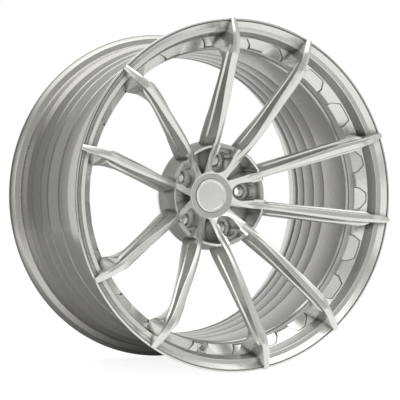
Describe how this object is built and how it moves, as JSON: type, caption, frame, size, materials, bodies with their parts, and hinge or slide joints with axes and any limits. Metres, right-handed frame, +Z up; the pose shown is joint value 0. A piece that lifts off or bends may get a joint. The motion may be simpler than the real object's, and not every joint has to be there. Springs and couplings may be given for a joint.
{
  "type": "forged racing wheel rim",
  "caption": "Deep-dish forged car wheel rim: slim V-paired spokes run from a small hub over the lip, with a barrel, centre cap and valve.",
  "frame": {"origin": "on the axle line, midway between the two rim flanges", "axes": "Y along the axle with the street face toward -Y and the car toward +Y; +Z up; +X to the right seen from the street side"},
  "size_m": [0.543, 0.3084, 0.543],
  "materials": {
    "face_paint": "silver metallic paint under clear coat",
    "barrel_paint": "silver metallic paint under clear coat",
    "cap_silver": "silver",
    "cap_plastic": "matt",
    "ring_plastic": "matt",
    "bolt_steel": "zinc",
    "insert_steel": "satin",
    "spring_steel": "bright",
    "valve_metal": "nickel plated",
    "core_brass": "plain",
    "valve_cap_grey": "satin",
    "seal_rubber": "matt"
  },
  "bodies": {
    "wheel": {"forged_face": "face_paint", "inner_barrel": "barrel_paint", "barrel_seal_ring": "seal_rubber", "assembly_bolt_01": "bolt_steel", "assembly_bolt_02": "bolt_steel", "assembly_bolt_03": "bolt_steel", "assembly_bolt_04": "bolt_steel", "assembly_bolt_05": "bolt_steel", "assembly_bolt_06": "bolt_steel", "assembly_bolt_07": "bolt_steel", "assembly_bolt_08": "bolt_steel", "assembly_bolt_09": "bolt_steel", "assembly_bolt_10": "bolt_steel", "lug_seat_insert_1": "insert_steel", "lug_seat_insert_2": "insert_steel", "lug_seat_insert_3": "insert_steel", "lug_seat_insert_4": "insert_steel", "lug_seat_insert_5": "insert_steel", "hub_centring_ring": "ring_plastic", "valve_stem": "valve_metal", "valve_grommet": "seal_rubber", "valve_washer": "valve_metal", "valve_nut": "valve_metal", "valve_core_body": "core_brass", "valve_core_spring": "spring_steel"},
    "centre_cap": {"centre_cap_cover": "cap_silver", "centre_cap_body": "cap_plastic", "cap_spring_ring": "spring_steel"},
    "valve_cap_body": {"valve_cap": "valve_cap_grey", "valve_cap_seal": "seal_rubber"},
    "valve_pin": {"valve_core_pin": "core_brass"}
  },
  "joints": [
    {"name": "centre_cap_pull", "type": "slide", "parent": "wheel", "child": "centre_cap", "axis": [0, -1, 0], "range_m": [0, 0.03]},
    {"name": "valve_cap_lift", "type": "slide", "parent": "wheel", "child": "valve_cap_body", "axis": [0.1234, -0.7993, 0.5881], "range_m": [0, 0.02]},
    {"name": "valve_pin_press", "type": "slide", "parent": "wheel", "child": "valve_pin", "axis": [-0.1234, 0.7993, -0.5881], "range_m": [0, 0.001], "stiffness_N_per_m": 3000, "springref_m": -0.0005, "deforming": ["valve_core_spring"]}
  ]
}
